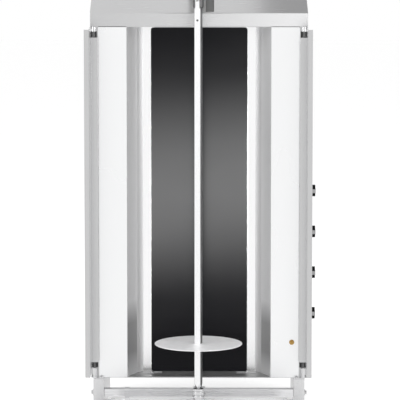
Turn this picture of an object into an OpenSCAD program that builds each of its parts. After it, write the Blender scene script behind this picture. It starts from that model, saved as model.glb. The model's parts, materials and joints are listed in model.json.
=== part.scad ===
/* [Body] */
// Width of the housing over its side panels
body_w = 552; // [480:1:640]
// Depth of the housing from front panel to back panel
body_d = 400; // [360:1:460]
// Height of the housing from its bottom panel to the hood lip
body_h = 903; // [860:1:1000]
// Height of the housing's bottom above the floor
base_h = 112; // [104:1:130]
// Thickness of the steel sheet
sheet_t = 1.5; // [1:0.1:2]

/* [Hood] */
// Height of the upright lip at the front of the hood
lip_h = 34; // [25:1:50]
// Rise and run of the 45 degree slope above the lip
slope_run = 60; // [45:1:80]
// Width of the guide slot in the hood
slot_w = 21; // [16:0.5:26]
// Sideways distance of the guide slot from the spit
slot_x = 27.7; // [20:0.1:60]

/* [Grill recess] */
// Half width of the recess at the front panels
recess_x = 183.5; // [170:0.5:200]
// Depth of the recess from the front panels to the glass
recess_d = 78; // [70:1:90]
// Width of the black glass
glass_w = 247; // [220:1:260]
// Thickness of the glass
glass_t = 4; // [3:0.5:6]
// Number of radiant heaters behind the glass
heaters = 4; // [4:1:4]

/* [Spit] */
// Side of the square spit
spit_side = 16; // [14:0.5:18]
// Distance of the spit in front of the front panels
spit_reach = 150; // [130:1:170]
// Turn of the square spit about its own axis
spit_turn = -19; // [-45:1:45]
// Diameter of the meat plate
plate_dia = 220; // [160:1:240]
// Height of the meat plate's top above the floor
plate_z = 229; // [200:1:300]

/* [Wings] */
// Depth of each side wing from its hinge to its front flange
wing_d = 150; // [120:1:170]
// Width of the folded flange at the front of a wing
wing_flange = 12.8; // [8:0.1:20]
// Diameter of the hinge pins
pin_dia = 6; // [5:0.5:7]

/* [Controls] */
// Number of heater knobs on the right side
knobs = 4; // [4:1:4]
// Distance between the knobs
knob_pitch = 106; // [90:1:110]
// Diameter of a knob
knob_dia = 30; // [26:1:34]
// Height of a knob over the side panel
knob_h = 23; // [18:1:26]

/* [Base] */
// Width of each base cheek
cheek_w = 28; // [24:1:32]
// Length of the low part of the cheeks in front of the front panels
cheek_reach = 255; // [240:1:290]
// Height of the rubber feet
foot_h = 15; // [12:1:20]
// Height of the cross bar between the cheeks
bar_h = 20; // [18:1:24]
// Width of the drip tray over its rim
tray_w = 448; // [420:1:452]

/* [Hidden] */

// Small differences used everywhere
gap = 0.3;      // air between pieces that pass each other
cut = 1;        // how far a cutter reaches past a face
round_fn = 48;  // facets of a drawn circle

// Heights
top_z = base_h + body_h;            // underside of the hood lip
deck_z = top_z + lip_h + slope_run; // flat top of the hood
rail_h = 12;                        // deck rails
carriage_z = deck_z + rail_h;       // underside of the carriage plate
carriage_t = 5;
cover_h = 88;

// Left and right, front and back, before the model is centred
half_w = body_w / 2;
gland_reach = 18;
plate_in = half_w - 3.8;            // inner face of a wing's main plate
flange_x = plate_in + wing_flange;  // outermost edge of a wing's flange
shift_x = (flange_x - half_w - knob_h) / 2;
front_reach = max(cheek_reach, spit_reach + plate_dia / 2);
shift_y = (front_reach - body_d - gland_reach) / 2;

// Hinges of the wings
hinge_x = half_w - 10;
hinge_y = -9;
wing_z0 = base_h + 28;
wing_z1 = top_z + 3;
channel_z0 = wing_z0 + 15;
channel_z1 = top_z - 27;

// Controls
knob_y = 70;
knob_z0 = 270;
spindle_dia = 6;

// Spit line
cup_top = base_h + 1;
sleeve_z = top_z + 57;
sleeve_dia = 27;
cone_h = 16;
hub_h = 16;

// Base
cheek_in = half_w - 5.5 - cheek_w;
cheek_t = 2.5;
post_y = -16;
low_z = foot_h + 35;
bar_y = [post_y + 1, 10];
bar_z = [base_h - 47, base_h - 47 + bar_h];
travel = 60;
rim_z = 62;
tray_depth = 36;
tray_y0 = -cheek_reach + 3;
tray_d = post_y - 6 - tray_y0;

function unit(v) = v / norm(v);
function turned(v) = [-v.y, v.x];
function side_of(p, i) = let (a = max(i, 1)) turned(unit(p[a] - p[a - 1]));
function offset_point(p, i, t) =
    let (n1 = side_of(p, i), n2 = side_of(p, min(i + 1, len(p) - 1)))
    p[i] + (n1 + n2) * t / (1 + n1 * n2);

// Moves the model so that its origin is below the middle of its box
module placed() translate([shift_x, shift_y, 0]) children();

// Bent sheet: a line of points, given a thickness to its left
module bent(p, t = sheet_t)
    polygon(concat(p, [for (i = [len(p) - 1:-1:0]) offset_point(p, i, t)]));

// Turns a profile drawn as (depth, height) so that it runs sideways from x0 to x1
module across(x0, x1) translate([x0, 0, 0]) rotate([90, 0, 90])
    linear_extrude(x1 - x0) children();

// Turns a profile drawn as (sideways, height) so that it runs back from y0 to y1
module along(y0, y1) translate([0, y1, 0]) rotate([90, 0, 0]) linear_extrude(y1 - y0) children();

module rounded_square(w, d, r) {
    square([w - 2 * r, d], center = true);
    square([w, d - 2 * r], center = true);
    for (x = [-1, 1], y = [-1, 1])
        translate([x * (w / 2 - r), y * (d / 2 - r)]) circle(r, $fn = round_fn);
}

// Hexagon head and shank, lying along +Z, head up
module hex_screw(d, head, length) {
    cylinder(h = head, r = d * 0.85, $fn = 6);
    translate([0, 0, -length]) cylinder(h = length + head / 2, r = d / 2, $fn = 24);
}

// Everything in pairs is drawn on the right, at +X, and mirrored to the left
module sided(side) mirror([side < 0 ? 1 : 0, 0, 0]) children();

// Slot with round ends, cut through a panel that lies in the X-Y plane
module slot_cut(length, width, depth) translate([0, 0, -depth / 2]) linear_extrude(depth) {
    square([length - width, width], center = true);
    for (x = [-1, 1]) translate([x * (length - width) / 2, 0]) circle(width / 2, $fn = 24);
}

// Louvre pressed out of a panel: a hood over a slot, open at its lower edge
module louvre_hood(length) rotate([90, 0, 90]) translate([0, 0, -length / 2])
    linear_extrude(length)
        polygon([[0, 9], [-4.5, 2], [-4.5, 0], [-3.3, 0], [-3.3, 1.6], [0, 6.8]]);

louvre_l = 90;
louvre_pitch = 16;
module louvre_column(n) for (i = [0:n - 1]) translate([0, 0, i * louvre_pitch]) children();

// ---------------------------------------------------------------- base

bolt_y = -2.5;
bolt_z = bar_z[0] + bar_h / 2;
bolt_dia = 6;

// Side outline of a cheek: a tall part under the housing and a low one before it
function cheek_line(t) = [[-cheek_reach + t, foot_h + t], [body_d - 5 - t, foot_h + t],
    [body_d - 5 - t, base_h - t], [post_y + t, base_h - t], [post_y + t, low_z - t],
    [-cheek_reach + t, low_z - t]];
module cheek(side) color("silver") placed() sided(side) difference() {
    across(cheek_in, cheek_in + cheek_w) polygon(cheek_line(0));
    across(cheek_in + cheek_t, cheek_in + cheek_w - cheek_t) polygon(cheek_line(cheek_t));
    translate([cheek_in - cut, bolt_y, bolt_z]) rotate([0, 90, 0])
        cylinder(h = cheek_w + 2 * cut, r = bolt_dia / 2 + 0.3, $fn = 24);
}

// Channel section, open to the back
member_y = [body_d - 48, body_d - 16];
member_z = [base_h - 46, base_h - 2];
module rear_cross_member() color("silver") placed() across(-cheek_in, cheek_in)
    bent([[member_y[1], member_z[1]], [member_y[0], member_z[1]], [member_y[0], member_z[0]],
        [member_y[1], member_z[0]]], cheek_t);

// Angle that the rim of the drip tray slides on, with a stop at its rear end
runner_t = 2;
runner_y0 = -cheek_reach + 6;
runner_l = post_y - 2 - runner_y0;
runner_in = tray_w / 2 - 10;
runner_z = rim_z - 2 * runner_t;
module tray_runner(side) color("silver") placed() sided(side) translate([0, runner_y0, 0]) {
    translate([cheek_in - runner_t, 0, low_z - 24]) cube([runner_t, runner_l, runner_z - low_z + 26]);
    translate([runner_in, 0, runner_z]) cube([cheek_in - runner_in, runner_l, runner_t]);
    translate([runner_in, runner_l - runner_t, runner_z]) cube([12, runner_t, 6]);
}

module foot() rotate_extrude($fn = round_fn)
    polygon([[0, 0], [14, 0], [16, 2], [14, foot_h], [0, foot_h]]);

foot_x = cheek_in + cheek_w / 2;
foot_y = [-cheek_reach + 24, body_d - 30];
module feet() color("dimgray") placed()
    for (x = [-foot_x, foot_x], y = foot_y) translate([x, y, 0]) foot();

// ---------------------------------------------------------------- housing

inner_x = half_w - sheet_t;
inner_y = body_d - sheet_t;
gland_x = -200;
gland_z = base_h + 40;
gland_dia = 20;

module bottom_panel() color("lightgray") placed() difference() {
    translate([-inner_x, sheet_t, base_h]) cube([2 * inner_x, inner_y - sheet_t, sheet_t]);
    for (x = [-120:40:120], y = [170:60:290])
        translate([x, y, base_h]) rotate([0, 0, 90]) slot_cut(36, 8, 4 * sheet_t);
}

fold_1 = [recess_x - 23.5, recess_d - 22];
fold_2 = [recess_x - 26, recess_d - 18];
fold_3 = [recess_x - 39, recess_d + glass_t];
strip_x = glass_w / 2 - 9;
module recess_outline(y1) polygon([[-recess_x, 0], [recess_x, 0], fold_1, fold_2, fold_3,
    [fold_3.x, y1], [-fold_3.x, y1], [-fold_3.x, fold_3.y], [-fold_2.x, fold_2.y],
    [-fold_1.x, fold_1.y]]);

floor_z = base_h + sheet_t;
module recess_floor() color("gray") placed() translate([0, 0, floor_z]) linear_extrude(sheet_t)
    recess_outline(recess_d + glass_t + 1);

panel_x = half_w - 20.8;
module side_sheet() translate([0, 0, base_h]) linear_extrude(body_h)
    bent([[panel_x, 0], [half_w, 0], [half_w, body_d], [half_w - 14, body_d]]);

louvre_y = body_d - 95;
side_rows = 8;
relief_w = 2.4;
relief_h = 7;
side_louvre_z = [base_h + 60, top_z - 190];
module side_panel(side, rows, holes) color("lightgray") placed() sided(side) {
    difference() {
        side_sheet();
        for (z = side_louvre_z) translate([half_w, louvre_y, z]) louvre_column(rows)
            translate([0, 0, 4]) rotate([90, 0, 90]) slot_cut(louvre_l, 4, 4 * sheet_t);
        for (i = [0:holes - 1]) translate([half_w, knob_y, knob_z0 + i * knob_pitch])
            rotate([0, 90, 0]) cylinder(h = 4 * sheet_t, r = 5, center = true, $fn = round_fn);
        for (z = [base_h, top_z - relief_h]) translate([half_w - 4.8, -cut, z - cut])
            cube([relief_w, 2 * sheet_t, relief_h + 2 * cut]);
    }
    for (z = side_louvre_z) translate([half_w, louvre_y, z]) louvre_column(rows)
        rotate([0, 0, 90]) louvre_hood(louvre_l);
}

module front_panel(side) color("whitesmoke") placed() sided(side)
    translate([0, 0, base_h + sheet_t]) linear_extrude(body_h - 2 * sheet_t)
        bent([[recess_x, 0], [panel_x - gap, 0], [panel_x - gap, 14]]);

reflector_h = body_h - 3 * sheet_t - gap;
module reflector(side) color("gainsboro") placed() sided(side)
    translate([0, 0, floor_z + sheet_t]) linear_extrude(reflector_h)
        bent([[strip_x, fold_3.y], fold_3, fold_2, fold_1, [recess_x, sheet_t + gap]]);

glass_h = 891;
glass_r = 6;
module glass_panel() color([0.06, 0.06, 0.07]) placed()
    translate([0, recess_d + glass_t, floor_z + sheet_t + glass_h / 2]) rotate([90, 0, 0])
        linear_extrude(glass_t) rounded_square(glass_w, glass_h, glass_r);

heater_w = 204;
heater_h = 206;
heater_t = 26;
heater_pitch = glass_h / heaters;
heater_y = recess_d + glass_t + gap;
heater_bed = 10;
ribbon_n = 7;
ribbon_pitch = 24;
ribbon_l = heater_w - 40;
module heater(i) color("tan") placed()
    translate([0, heater_y + heater_t, floor_z + sheet_t + (i - 0.5) * heater_pitch])
        rotate([90, 0, 0]) {
            difference() {
                linear_extrude(heater_t) rounded_square(heater_w, heater_h, 20);
                translate([0, 0, heater_bed]) linear_extrude(heater_t)
                    rounded_square(heater_w - 16, heater_h - 16, 14);
            }
            for (k = [0:ribbon_n - 1])
                translate([-ribbon_l / 2, (k - (ribbon_n - 1) / 2) * ribbon_pitch - 0.6, heater_bed - 1])
                    cube([ribbon_l, 1.2, 9]);
        }

rail_y = heater_y + heater_t;
module heater_rails() color("silver") placed() for (side = [-1, 1]) sided(side)
    translate([60, rail_y, floor_z]) cube([18, 3, body_h - 2 * sheet_t - gap - 1]);

module insulation() color("ivory") placed()
    translate([-140, rail_y + 3 + gap, floor_z + gap]) cube([280, 25, glass_h]);

back_louvre_x = [-130, 0, 130];
back_louvre_z = [base_h + 90, base_h + 350, base_h + 610];
back_rows = 8;
back_w = half_w - 14 - gap;
module back_louvres() for (x = back_louvre_x, z = back_louvre_z)
    translate([x, body_d, z]) louvre_column(back_rows) children();
module back_panel() color("lightgray") placed() {
    difference() {
        translate([-back_w, inner_y, floor_z]) cube([2 * back_w, sheet_t, body_h - sheet_t]);
        back_louvres() translate([0, 0, 4]) rotate([90, 0, 0]) slot_cut(louvre_l, 4, 4 * sheet_t);
        translate([gland_x, body_d, gland_z]) rotate([90, 0, 0])
            cylinder(h = 4 * sheet_t, r = gland_dia / 2, center = true, $fn = round_fn);
    }
    back_louvres() rotate([0, 0, 180]) louvre_hood(louvre_l);
}

// Outline of the hood in depth and height, from the back round to the lip
hood_line = [[body_d, top_z], [body_d, deck_z], [slope_run, deck_z], [0, top_z + lip_h],
    [0, top_z]];
slot_y1 = 256;
guide_line = [[slot_y1, deck_z], [slope_run, deck_z], [2, top_z + lip_h + 2]];
guide_deep = 13;
hood_lean = 5;

// Front outline of the hood, upright over the lip and leaning in above it
function hood_front(t, z0) = [[t - half_w, z0], [half_w - t, z0], [half_w - t, top_z + lip_h],
    [half_w - hood_lean - t, deck_z], [t + hood_lean - half_w, deck_z],
    [t - half_w, top_z + lip_h]];
function hood_inner(i) = offset_point(hood_line, i, sheet_t);
module hood_block(line, t, z0) intersection() {
    across(-half_w, half_w) polygon(line);
    along(0, body_d) polygon(hood_front(t, z0));
}

module hood() color("silver") placed() difference() {
    hood_block(hood_line, 0, top_z);
    hood_block([hood_inner(0) - [0, cut], hood_inner(1), hood_inner(2), hood_inner(3),
        hood_inner(4) - [0, cut]], sheet_t, top_z - cut);
    across(slot_x - slot_w / 2, slot_x + slot_w / 2)
        translate([0, cut]) bent(guide_line, guide_deep);
    for (x = [-200:50:200])
        translate([x, body_d, deck_z - 35]) rotate([90, 0, 0]) slot_cut(34, 7, 4 * sheet_t);
}

ceiling_flange = 17;
module recess_ceiling() color("gainsboro") placed() {
    translate([0, 0, top_z - sheet_t]) linear_extrude(sheet_t) recess_outline(fold_3.y + sheet_t);
    translate([gap - strip_x, fold_3.y, top_z - ceiling_flange])
        cube([2 * (strip_x - gap), sheet_t, ceiling_flange]);
}

module slot_guide() color("dimgray") placed() difference() {
    across(slot_x - slot_w / 2 - 2, slot_x + slot_w / 2 + 2) difference() {
        bent(guide_line, guide_deep + 2);
        bent(guide_line, sheet_t + 0.05);
    }
    across(slot_x - slot_w / 2, slot_x + slot_w / 2) translate([0, 0.01])
        bent([[slot_y1 - 2, deck_z], [slope_run, deck_z], [4, top_z + lip_h + 4]], guide_deep);
}

rail_x = 60;
rail_w = 24;
rail_wall = 2.5;
rail_slot = 10;
rail_y0 = slope_run + 6;
rail_y1 = slot_y1 + 38;
module rail_section() translate([-rail_w / 2, deck_z]) difference() {
    square([rail_w, rail_h]);
    translate([rail_wall, rail_wall]) square([rail_w - 2 * rail_wall, rail_h - 2 * rail_wall]);
    translate([(rail_w - rail_slot) / 2, rail_h / 2]) square([rail_slot, rail_h]);
}
module deck_rails() color("silver") placed()
    for (x = [-rail_x, rail_x]) translate([x, 0, 0]) along(rail_y0, rail_y1) rail_section();

// ---------------------------------------------------------------- hinges and wings

lug_r = 5.5;
module lug(z0, z1) {
    translate([hinge_x, hinge_y, z0]) cylinder(h = z1 - z0, r = lug_r, $fn = round_fn);
    translate([hinge_x - lug_r, hinge_y, z0]) cube([2 * lug_r, -hinge_y, z1 - z0]);
}
module pin(z0, z1) translate([hinge_x, hinge_y, z0])
    cylinder(h = z1 - z0, r = pin_dia / 2, $fn = round_fn);

pin_in = 10;
module upper_hinge(side) color("silver") placed() sided(side) {
    lug(top_z - 12, top_z);
    pin(channel_z1 - pin_in, top_z - 6);
}
module lower_hinge(side) color("silver") placed() sided(side) {
    lug(base_h, wing_z0 - 1);
    pin(wing_z0 - 6, channel_z0 + pin_in);
    translate([cheek_in + 1, post_y, base_h]) cube([hinge_x - cheek_in - 1, -post_y, 2.5]);
}

web_y = hinge_y - 7;
lip_x = hinge_x - 10.5;
notch_y = hinge_y - 14;
bearing_t = 3;
bearing_clear = 0.05;
module bearing_plate(z) difference() {
    translate([0, 0, z]) linear_extrude(bearing_t) {
        translate([hinge_x, hinge_y]) circle(lug_r, $fn = round_fn);
        translate([lip_x + 1, web_y + 1]) square([plate_in - lip_x - 1, hinge_y - web_y - 1]);
    }
    translate([hinge_x, hinge_y, z - cut])
        cylinder(h = bearing_t + 2 * cut, r = pin_dia / 2 + bearing_clear, $fn = round_fn);
}
module wing(side) color("gainsboro") placed() sided(side) {
    difference() {
        translate([0, 0, wing_z0]) linear_extrude(wing_z1 - wing_z0)
            bent([[plate_in, hinge_y + 4], [plate_in, -wing_d], [flange_x, -wing_d],
                [flange_x, -wing_d + 9]]);
        for (z = [[wing_z0 - cut, channel_z0], [channel_z1, wing_z1 + cut]])
            translate([plate_in - cut, notch_y, z[0]]) cube([4, -notch_y, z[1] - z[0]]);
    }
    translate([0, 0, channel_z0]) linear_extrude(channel_z1 - channel_z0)
        bent([[lip_x, hinge_y], [lip_x, web_y], [plate_in, web_y]]);
    bearing_plate(channel_z0);
    bearing_plate(channel_z1 - bearing_t);
}

// ---------------------------------------------------------------- electrics and fittings

reg_w = 38;
reg_h = 34;
reg_x0 = half_w - 36;
spindle_in = 14;
module regulator(i) color("beige") placed() difference() {
    translate([reg_x0, knob_y - reg_w / 2, knob_z0 + (i - 1) * knob_pitch - reg_h / 2])
        cube([inner_x - reg_x0, reg_w, reg_h]);
    translate([inner_x - spindle_in - 1, knob_y, knob_z0 + (i - 1) * knob_pitch]) rotate([0, 90, 0])
        cylinder(h = spindle_in + 2, r = spindle_dia / 2 + 0.05, $fn = round_fn);
}

// Round skirt with finger flutes, a bar across it and the spindle behind it
knob_seat = 4;
knob_r = knob_dia / 2;
bar_w = 11;
module knob_skirt() rotate_extrude($fn = round_fn) polygon([[0, 0], [knob_r, 0],
    [knob_r, knob_h - 1.6 - gap], [knob_r - 0.6, knob_h - 1 - gap], [0, knob_h - 1 - gap]]);
module knob(i) color([0.12, 0.12, 0.13]) placed()
    translate([half_w + gap, knob_y, knob_z0 + (i - 1) * knob_pitch]) rotate([0, 90, 0]) {
        difference() {
            knob_skirt();
            for (a = [0:20:359]) rotate([0, 0, a]) translate([knob_r + 1.2, 0, knob_seat])
                cylinder(h = knob_h, r = 2.2, $fn = 16);
        }
        translate([-bar_w / 2, -knob_r, 0]) cube([bar_w, knob_dia, knob_h - gap]);
        translate([0, 0, -sheet_t - spindle_in])
            cylinder(h = spindle_in + sheet_t + 1, r = spindle_dia / 2, $fn = round_fn);
    }

terminals = 5;
module terminal_block() color("ivory") placed() translate([-226, body_d - 64, floor_z]) difference() {
    cube([terminals * 14, 28, 26]);
    for (i = [0:terminals - 1], y = [7, 21])
        translate([7 + i * 14, y, 12]) cylinder(h = 20, r = 4, $fn = 24);
    for (i = [1:terminals - 1]) translate([i * 14 - 0.75, -cut, 18]) cube([1.5, 30, 20]);
}

// Screwed cable entry: threaded body, lock nut inside, hexagon and dome outside
gland_bore = 12;
gland_in = 14;
gland_hex = 6;
module gland_body() {
    translate([0, 0, -gland_in]) cylinder(h = gland_in + 16, r = gland_dia / 2 - 0.1, $fn = round_fn);
    for (z = [-gland_hex, sheet_t + 0.1])
        translate([0, 0, z]) cylinder(h = gland_hex - 0.5, r = 14, $fn = 6);
    translate([0, 0, sheet_t + 0.1]) cylinder(h = gland_hex, r = 12.5, $fn = round_fn);
    translate([0, 0, sheet_t + gland_hex]) rotate_extrude($fn = round_fn) polygon([[0, 0], [12.5, 0],
        [12.5, 6], [10, gland_reach - gland_hex], [0, gland_reach - gland_hex]]);
}
module cable_gland() color("dimgray") placed()
    translate([gland_x, inner_y, gland_z]) rotate([-90, 0, 0]) difference() {
        gland_body();
        translate([0, 0, -2 * gland_in]) cylinder(h = 60, r = gland_bore / 2, $fn = round_fn);
    }

stud_x = 237.5;
stud_z = 205;
// Threaded stud with a washer and a nut
module bonding_stud() color("darkgoldenrod") placed()
    translate([stud_x, 0, stud_z]) rotate([90, 0, 0]) {
        cylinder(h = 1.6, r = 6.5, $fn = round_fn);
        cylinder(h = 6.5, r = 5.8, $fn = 6);
        cylinder(h = 13, r = 3, $fn = round_fn);
    }

// Pan-head screws that hold the housing together
module pan_head() rotate_extrude($fn = 24)
    polygon([[0, 0], [4, 0], [4, 1], [2.6, 2.4], [0, 2.4]]);
module panel_screws() color("gainsboro") placed() {
    for (side = [-1, 1]) sided(side) {
        for (z = [base_h + 20:217:top_z], y = [18, body_d - 18])
            translate([half_w, y, z]) rotate([0, 90, 0]) pan_head();
        for (y = [100, body_d - 100]) translate([half_w, y, top_z + 14]) rotate([0, 90, 0]) pan_head();
        for (z = [base_h + 30, top_z - 30])
            translate([back_w - 12, body_d, z]) rotate([-90, 0, 0]) pan_head();
        translate([cheek_in + 7, post_y / 2, base_h + 2.5]) pan_head();
    }
}

// ---------------------------------------------------------------- drip tray

basin_w = tray_w - 24;
basin_d = tray_d - 24;
basin_z = rim_z - tray_depth;
rim_r = 44;
basin_r = 34;
module drip_tray() color("silver") placed() translate([0, tray_y0 + tray_d / 2, 0]) {
    difference() {
        union() {
            translate([0, 0, rim_z - sheet_t]) linear_extrude(sheet_t)
                rounded_square(tray_w, tray_d, rim_r);
            translate([0, 0, basin_z]) linear_extrude(tray_depth)
                rounded_square(basin_w, basin_d, basin_r);
        }
        translate([0, 0, basin_z + sheet_t]) linear_extrude(tray_depth)
            rounded_square(basin_w - 2 * sheet_t, basin_d - 2 * sheet_t, basin_r - sheet_t);
    }
    translate([-60, -tray_d / 2 - 3, 0]) across(0, 120)
        bent([[5, rim_z - sheet_t], [0, rim_z - sheet_t], [0, rim_z - 18], [8, rim_z - 18]]);
}

// ---------------------------------------------------------------- cross bar under the spit

bar_x = cheek_in - gap;
bar_d = bar_y[1] - bar_y[0];
arm_x = 15;
arm_y1 = bar_y[1] + travel + 8;
arm_z = [bar_z[0] + 3, bar_z[0] + 10];
arm_h = arm_z[1] - arm_z[0];
guide_wall = 2;
guide_l = 40;
module on_spit() translate([0, -spit_reach, 0]) children();

// Box section with a flat guide behind it, in which the bearing arm slides
module cross_bar() color("silver") placed() difference() {
    union() {
        translate([-bar_x, bar_y[0], bar_z[0]]) cube([2 * bar_x, bar_d, bar_h]);
        translate([-arm_x - gap - guide_wall, bar_y[0], bar_z[0]])
            cube([2 * (arm_x + gap + guide_wall), bar_d + guide_l, arm_h + 5]);
    }
    translate([-arm_x - gap, bar_y[0] - cut, arm_z[0] - gap])
        cube([2 * (arm_x + gap), bar_d + guide_l + 2 * cut, arm_h + 2 * gap]);
    for (side = [-1, 1]) sided(side) {
        translate([arm_x + 5, bar_y[0] + 2, bar_z[0] + 2])
            cube([bar_x - arm_x - 17, bar_d - 4, bar_h - 4]);
        translate([bar_x - 20, bolt_y, bolt_z]) rotate([0, 90, 0])
            cylinder(h = 30, r = bolt_dia / 2 + 0.05, $fn = 24);
    }
}

spigot_r = 4;
module bearing_arm() color("silver") placed() on_spit() difference() {
    translate([0, 0, arm_z[0]]) linear_extrude(arm_h) {
        circle(arm_x, $fn = round_fn);
        translate([-arm_x, 0]) square([2 * arm_x, arm_y1 + spit_reach]);
    }
    translate([0, 0, arm_z[0] - cut]) cylinder(h = arm_h + 2 * cut, r = spigot_r, $fn = 24);
}

// Grooved cup on the arm, held by a nut below it
journal_r = 5;
cup_r = 13.75;
cup_base = 15.5;
cup_floor = base_h - 20;
cup_z = base_h - 18;
nut_h = 1.8;
module bearing_cup() color("silver") placed() on_spit() difference() {
    union() {
        rotate_extrude($fn = round_fn) polygon([[0, arm_z[1]], [cup_base, arm_z[1]],
            [cup_base, cup_z - 0.5], [cup_base - 0.5, cup_z], [cup_r - 1, cup_z + 0.5],
            [cup_r - 1, cup_z + 3], [cup_r, cup_z + 4], [cup_r, cup_z + 10.5],
            [cup_r - 1, cup_z + 11.5], [cup_r - 1, cup_z + 13], [cup_r, cup_z + 14],
            [cup_r, cup_top - 1], [cup_r - 1, cup_top], [journal_r + 2, cup_top],
            [journal_r, cup_top - 2], [0, cup_top - 2]]);
        translate([0, 0, arm_z[0] - nut_h]) cylinder(h = nut_h, r = 7.5, $fn = 6);
        translate([0, 0, arm_z[0] - nut_h]) cylinder(h = arm_h + 6, r = spigot_r - 0.1, $fn = 24);
    }
    translate([0, 0, cup_floor]) cylinder(h = 40, r = journal_r + 0.05, $fn = round_fn);
}

// Strap hooked over the bar; its front leg stops the drip tray
collar_x = -184;
collar_w = 12;
collar_t = 1.5;
module bar_collar() color("gainsboro") placed() difference() {
    across(collar_x - collar_w / 2, collar_x + collar_w / 2)
        bent([[bar_y[0], low_z], [bar_y[0], bar_z[1]], [bar_y[1], bar_z[1]],
            [bar_y[1], bar_z[0] + 4]], collar_t);
    translate([collar_x, bar_y[0], bolt_z]) rotate([90, 0, 0])
        cylinder(h = collar_t + cut, r = 2.5, $fn = 24);
}

module bar_bolts() color("gainsboro") placed() for (side = [-1, 1]) sided(side)
    translate([cheek_in + cheek_w + 0.05, bolt_y, bolt_z]) rotate([0, 90, 0]) {
        cylinder(h = 1.5, r = 8, $fn = round_fn);
        translate([0, 0, 1.5]) hex_screw(bolt_dia, 4, cheek_w + 12);
    }

// ---------------------------------------------------------------- motor carriage

carriage_x = 82;
carriage_y0 = -spit_reach - 62;
carriage_y1 = 226;
head_y1 = -spit_reach + 66;  // rear edge of the wide part that carries the motor
neck_x = 25;
neck_h = 18;
rear_y0 = 76;                // front edge of the wide part that rides on the rails
bracket_y = 112;
bracket_x = 60;
bracket_h = 48;
shoe_l = 20;
shoe_y = [130, 205];
deck_x = carriage_x + 3;
shaft_r = 8;
module slider() along(0, shoe_l) {
    translate([-rail_slot / 2 + gap, deck_z + rail_h / 2 - 1])
        square([rail_slot - 2 * gap, rail_h / 2 + 1.5]);
    translate([-rail_w / 2 + rail_wall + gap, deck_z + rail_wall + gap])
        square([rail_w - 2 * rail_wall - 2 * gap, rail_h / 2 - rail_wall - 2 * gap]);
}
module carriage_slab(x, y0, y1, h = carriage_t)
    translate([-x, y0, carriage_z + gap]) cube([2 * x, y1 - y0, h]);

// Plate with a narrow neck over the slope, stiffened by flanges, and an upright bracket
module carriage_plate() color("silver") placed() {
    difference() {
        union() {
            carriage_slab(deck_x, carriage_y0, head_y1);
            carriage_slab(neck_x, head_y1 - cut, rear_y0 + cut);
            carriage_slab(deck_x, rear_y0, carriage_y1);
        }
        on_spit() translate([0, 0, carriage_z - cut]) cylinder(h = 20, r = 15, $fn = round_fn);
    }
    for (side = [-1, 1]) sided(side) {
        translate([neck_x - 4, head_y1, carriage_z + gap])
            cube([4, rear_y0 + 24 - head_y1, carriage_t + neck_h]);
        across(bracket_x - 3, bracket_x) polygon([[bracket_y - 1, motor_z - 1],
            [bracket_y - 1, motor_z + bracket_h - 4], [rear_y0 + 6, motor_z - 1]]);
    }
    carriage_slab(bracket_x, bracket_y - 2, bracket_y, carriage_t + bracket_h);
    for (x = [-rail_x, rail_x], y = shoe_y) translate([x, y, 0]) slider();
    translate([slot_x - slot_w / 2 + 0.5, shoe_y[0], deck_z - 8])
        cube([slot_w - 1, shoe_y[1] - shoe_l - shoe_y[0], rail_h + 8 + 2 * gap]);
}

motor_z = carriage_z + gap + carriage_t;
gear_h = 46;
motor_r = 30;
motor_l = 56;
// Gearbox over the spit with its motor beside it
module gear_motor() color("slategray") placed() on_spit() difference() {
    union() {
        translate([-14, 4, motor_z]) linear_extrude(gear_h) rounded_square(68, 84, 14);
        translate([0, 0, motor_z + gear_h]) cylinder(h = 8, r = 18, $fn = round_fn);
        translate([18, 4, motor_z + motor_r + 1]) rotate([0, 90, 0]) {
            cylinder(h = motor_l, r = motor_r, $fn = round_fn);
            for (z = [8:8:motor_l - 8])
                translate([0, 0, z]) cylinder(h = 3, r = motor_r + 0.9, $fn = round_fn);
        }
        translate([24, -26, motor_z]) cube([44, 60, 6]);
    }
    translate([0, 0, motor_z - cut]) cylinder(h = gear_h - 4, r = shaft_r + 0.05, $fn = round_fn);
}

cover_y1 = head_y1 - 4;
switch_x = 40;
switch_z = motor_z + 44;
cover_y0 = carriage_y0 + 4;
cover_top = motor_z + cover_h;
cover_line = [[cover_y1, motor_z], [cover_y1, cover_top - 24], [cover_y1 - 24, cover_top],
    [cover_y0 + 14, cover_top], [cover_y0, cover_top - 14], [cover_y0, motor_z]];
module motor_cover() color("lightgray") placed() difference() {
    union() {
        across(-carriage_x, carriage_x) bent(cover_line);
        for (x = [-carriage_x, carriage_x - sheet_t]) across(x, x + sheet_t) polygon(cover_line);
    }
    translate([switch_x - 11, carriage_y0, switch_z - 16]) cube([22, 12, 32]);
    for (x = [-carriage_x, carriage_x], z = [24:12:60], y = [cover_y0 + 36, cover_y1 - 30])
        translate([x, y, motor_z + z]) rotate([90, 0, 90]) slot_cut(44, 5, 4 * sheet_t);
}

module motor_switch() color([0.1, 0.1, 0.1]) placed()
    translate([switch_x, carriage_y0 + 9, switch_z]) across(-10.5, 10.5)
        polygon([[3, -13], [3, 13], [-5, 14], [-7.2, 10], [-7, 0], [-9.6, -12], [-6, -14]]);

module carriage_handle() color([0.15, 0.15, 0.16]) placed()
    translate([0, bracket_y, motor_z + 30]) {
        for (x = [-45, 45])
            translate([x, 0, 0]) rotate([-90, 0, 0]) cylinder(h = 30, r = 5, $fn = round_fn);
        translate([-52, 30, 0]) rotate([0, 90, 0]) cylinder(h = 104, r = 7, $fn = round_fn);
    }

// ---------------------------------------------------------------- spit

socket = spit_side + 0.2;
sleeve_top = carriage_z - 2;
spit_top = sleeve_z + 35;
module turned_spit() on_spit() rotate([0, 0, spit_turn]) children();

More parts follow.
